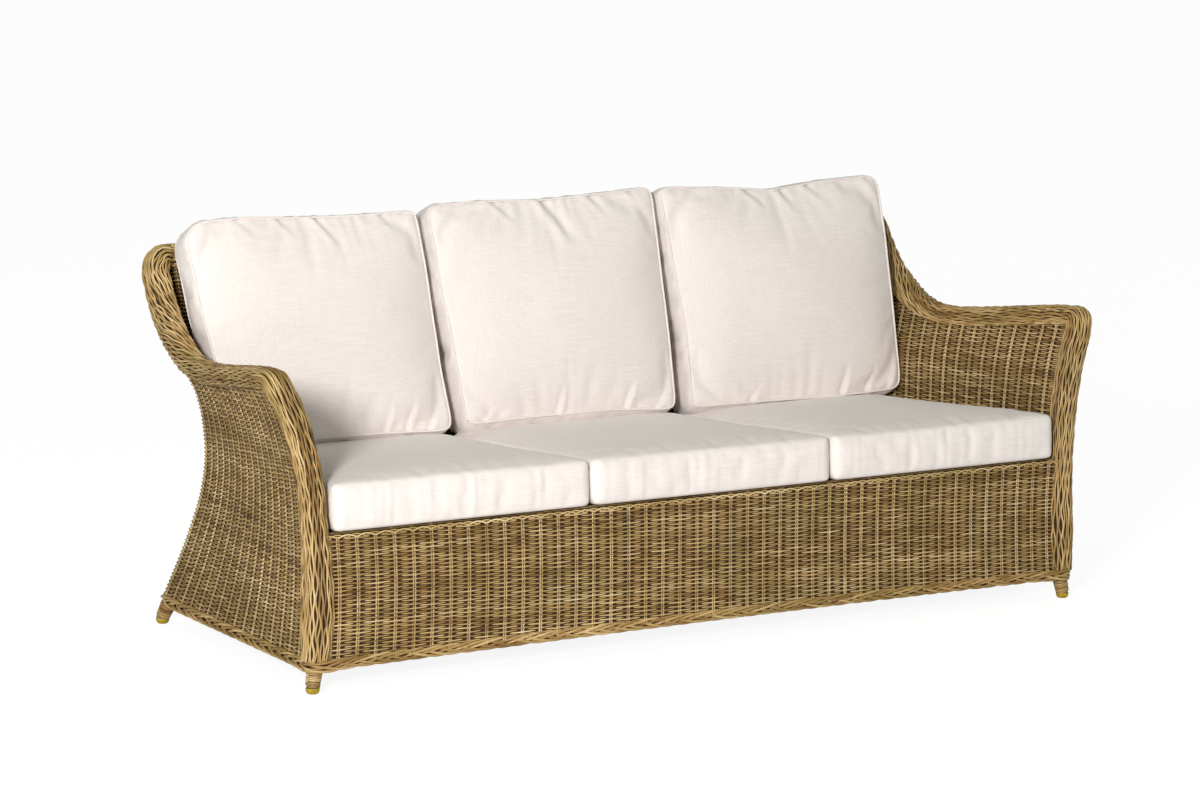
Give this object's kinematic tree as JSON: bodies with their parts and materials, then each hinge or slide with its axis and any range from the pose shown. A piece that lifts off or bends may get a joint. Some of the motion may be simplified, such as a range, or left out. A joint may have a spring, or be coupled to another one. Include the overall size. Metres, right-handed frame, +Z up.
{
  "type": "garden sofa",
  "caption": "Woven garden sofa with flared banded arms and back, waisted rear corners, short bound feet, and loose box cushions on the seat and against the back.",
  "frame": {"origin": "on the floor, under the middle of the bounding box", "axes": "+X towards the sofa's right end as seen from the front, +Y from the front towards the back, +Z up"},
  "size_m": [2.0096, 0.8162, 0.8888],
  "materials": {
    "frame_tube": "powder-coated matt tube, hidden by the weave",
    "wicker": "round plastic strand, mottled sand and brown",
    "dark_wicker": "fine round plastic strand, brown",
    "foot_cap": "yellow-brown moulded plastic",
    "linen": "off-white slub weave"
  },
  "bodies": {
    "frame": {"left_arm_loop_tube": "frame_tube", "left_rear_leg_tube": "frame_tube", "left_seat_rail": "frame_tube", "left_base_rail": "frame_tube", "left_deck_bar": "frame_tube", "left_back_upright": "frame_tube", "left_front_strut": "frame_tube", "left_rear_strut": "frame_tube", "right_arm_loop_tube": "frame_tube", "right_rear_leg_tube": "frame_tube", "right_seat_rail": "frame_tube", "right_base_rail": "frame_tube", "right_deck_bar": "frame_tube", "right_back_upright": "frame_tube", "right_front_strut": "frame_tube", "right_rear_strut": "frame_tube", "top_rail_tube": "frame_tube", "front_seat_rail": "frame_tube", "rear_seat_rail": "frame_tube", "front_base_rail": "frame_tube", "rear_base_rail": "frame_tube", "left_post_band": "wicker", "left_arm_band": "wicker", "left_wing_band": "wicker", "right_post_band": "wicker", "right_arm_band": "wicker", "right_wing_band": "wicker", "top_band": "wicker", "left_side_weave": "wicker", "right_side_weave": "wicker", "back_weave": "wicker", "front_apron_weave": "wicker", "seat_deck_weave": "dark_wicker", "front_base_braid": "wicker", "rear_base_braid": "wicker", "left_base_braid": "wicker", "right_base_braid": "wicker", "left_front_foot_binding": "dark_wicker", "left_rear_foot_binding": "dark_wicker", "right_front_foot_binding": "dark_wicker", "right_rear_foot_binding": "dark_wicker", "left_front_foot_cap": "foot_cap", "left_rear_foot_cap": "foot_cap", "right_front_foot_cap": "foot_cap", "right_rear_foot_cap": "foot_cap"},
    "left_seat": {"left_seat_cushion": "linen"},
    "middle_seat": {"middle_seat_cushion": "linen"},
    "right_seat": {"right_seat_cushion": "linen"},
    "left_back": {"left_back_cushion": "linen"},
    "middle_back": {"middle_back_cushion": "linen"},
    "right_back": {"right_back_cushion": "linen"}
  },
  "joints": [
    {"name": "left_seat_lift", "type": "slide", "parent": "frame", "child": "left_seat", "axis": [0, 0, 1], "range_m": [0, 0.56]},
    {"name": "middle_seat_lift", "type": "slide", "parent": "frame", "child": "middle_seat", "axis": [0, 0, 1], "range_m": [0, 0.56]},
    {"name": "right_seat_lift", "type": "slide", "parent": "frame", "child": "right_seat", "axis": [0, 0, 1], "range_m": [0, 0.56]},
    {"name": "left_back_lift", "type": "slide", "parent": "left_seat", "child": "left_back", "axis": [0, 0, 1], "range_m": [0, 0.45]},
    {"name": "middle_back_lift", "type": "slide", "parent": "middle_seat", "child": "middle_back", "axis": [0, 0, 1], "range_m": [0, 0.45]},
    {"name": "right_back_lift", "type": "slide", "parent": "right_seat", "child": "right_back", "axis": [0, 0, 1], "range_m": [0, 0.45]}
  ]
}
